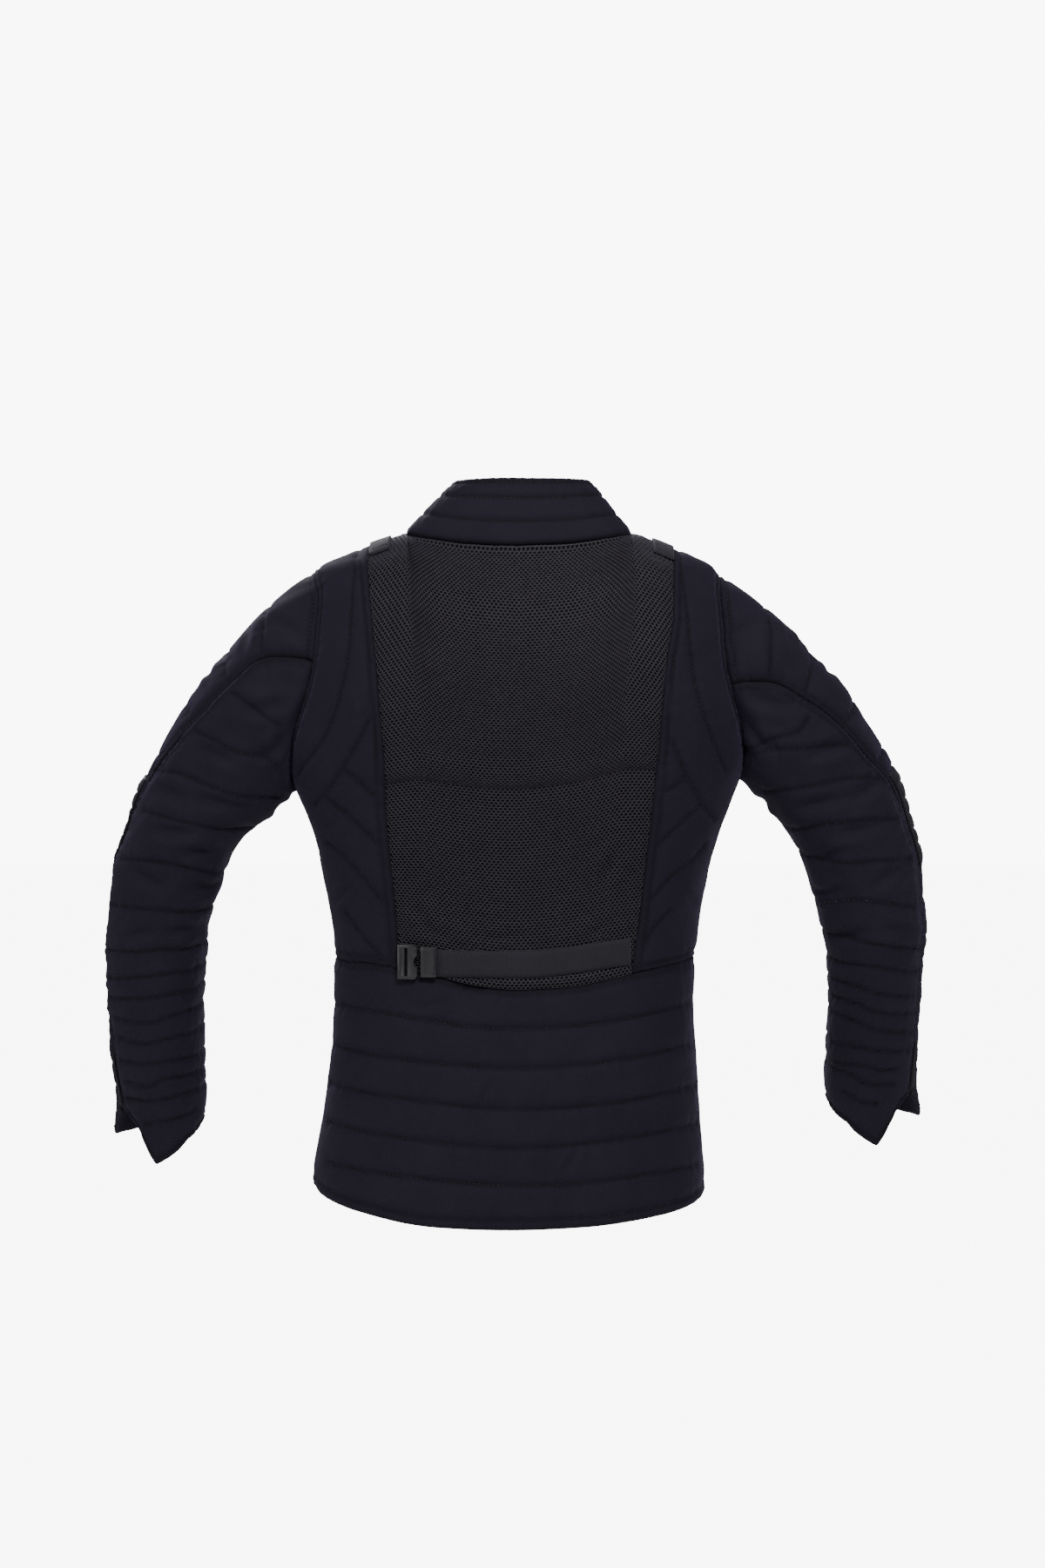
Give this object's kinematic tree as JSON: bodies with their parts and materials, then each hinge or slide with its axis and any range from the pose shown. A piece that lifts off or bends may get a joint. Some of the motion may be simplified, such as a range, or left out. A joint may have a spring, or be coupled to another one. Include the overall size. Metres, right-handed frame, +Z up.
{
  "type": "fencing jacket",
  "caption": "Quilted jacket with a spacer-mesh back panel, stand collar, buckled waist strap, vented cuffs and a centre-front zip, filled out as if worn.",
  "frame": {"origin": "midway between the two neck points of the shoulders, where the wearer's shoulders carry the jacket", "axes": "+Z up, the wearer's back faces +Y and the zipped front faces -Y, the wearer's left is +X"},
  "size_m": [0.7913, 0.2408, 0.6988],
  "materials": {
    "quilted_shell": "matt twill",
    "spacer_mesh": "open hexagon mesh",
    "webbing": "ribbed webbing",
    "tape": "woven tape",
    "elbow_patch": "smooth coated cloth",
    "hardware_plastic": "satin moulded plastic",
    "zip_metal": "dark burnished metal"
  },
  "bodies": {
    "jacket": {"back_lower": "quilted_shell", "collar": "quilted_shell", "back_side_left": "quilted_shell", "front_left": "quilted_shell", "sleeve_upper_left": "quilted_shell", "sleeve_under_left": "quilted_shell", "back_side_right": "quilted_shell", "front_right": "quilted_shell", "sleeve_upper_right": "quilted_shell", "sleeve_under_right": "quilted_shell", "back_mesh": "spacer_mesh", "elbow_patch_left": "elbow_patch", "cuff_gusset_left": "tape", "shoulder_tab_left": "webbing", "elbow_patch_right": "elbow_patch", "cuff_gusset_right": "tape", "shoulder_tab_right": "webbing", "waist_strap": "webbing", "strap_anchor": "webbing", "strap_buckle": "hardware_plastic", "strap_slider": "hardware_plastic", "zip_tape": "tape", "zip_slider": "zip_metal"},
    "pull": {"zip_pull": "zip_metal"}
  },
  "joints": [
    {"name": "zip_pull_swing", "type": "hinge", "parent": "jacket", "child": "pull", "pos_m": [0, -0.07312, -0.01974], "axis": [-1, 0, 0], "range_deg": [0, 150]}
  ]
}
